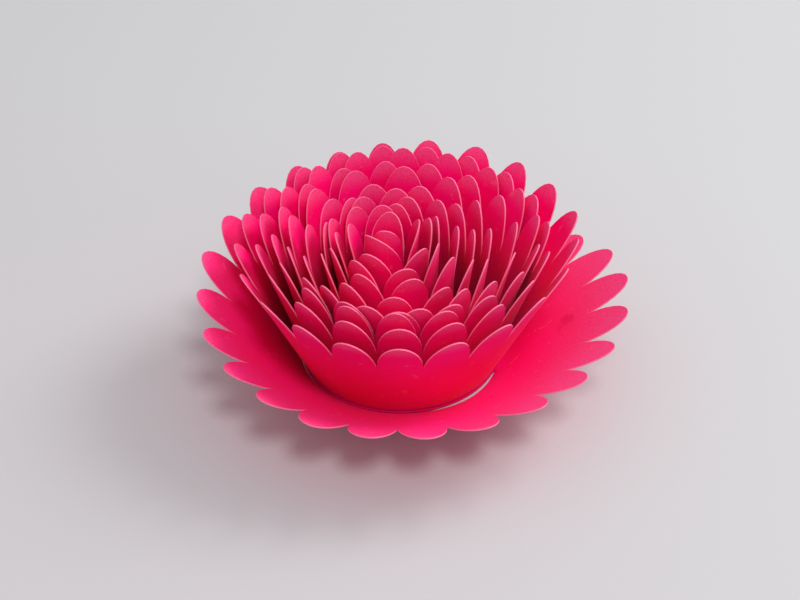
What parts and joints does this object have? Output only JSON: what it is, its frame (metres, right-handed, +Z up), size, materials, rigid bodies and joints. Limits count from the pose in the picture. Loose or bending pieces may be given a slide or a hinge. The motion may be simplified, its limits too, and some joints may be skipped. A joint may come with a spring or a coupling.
{
  "type": "rolled paper flower",
  "caption": "Rolled flower of petalled spiral card strip: a wide low skirt round a bowl of upright turns closing to a tight curl, standing on a flat disc as table or wall decoration.",
  "frame": {"origin": "on the underside of the flat disc, at its centre, where the flower rests", "axes": "+Z up along the roll's axis, +X to the right of the picture, +Y away from its camera"},
  "size_m": [0.0954, 0.0892, 0.0364],
  "materials": {
    "pink_card": "matt deep-pink card with a fine fibre"
  },
  "bodies": {
    "root": {"rolled_paper_flower": "pink_card"}
  },
  "joints": []
}
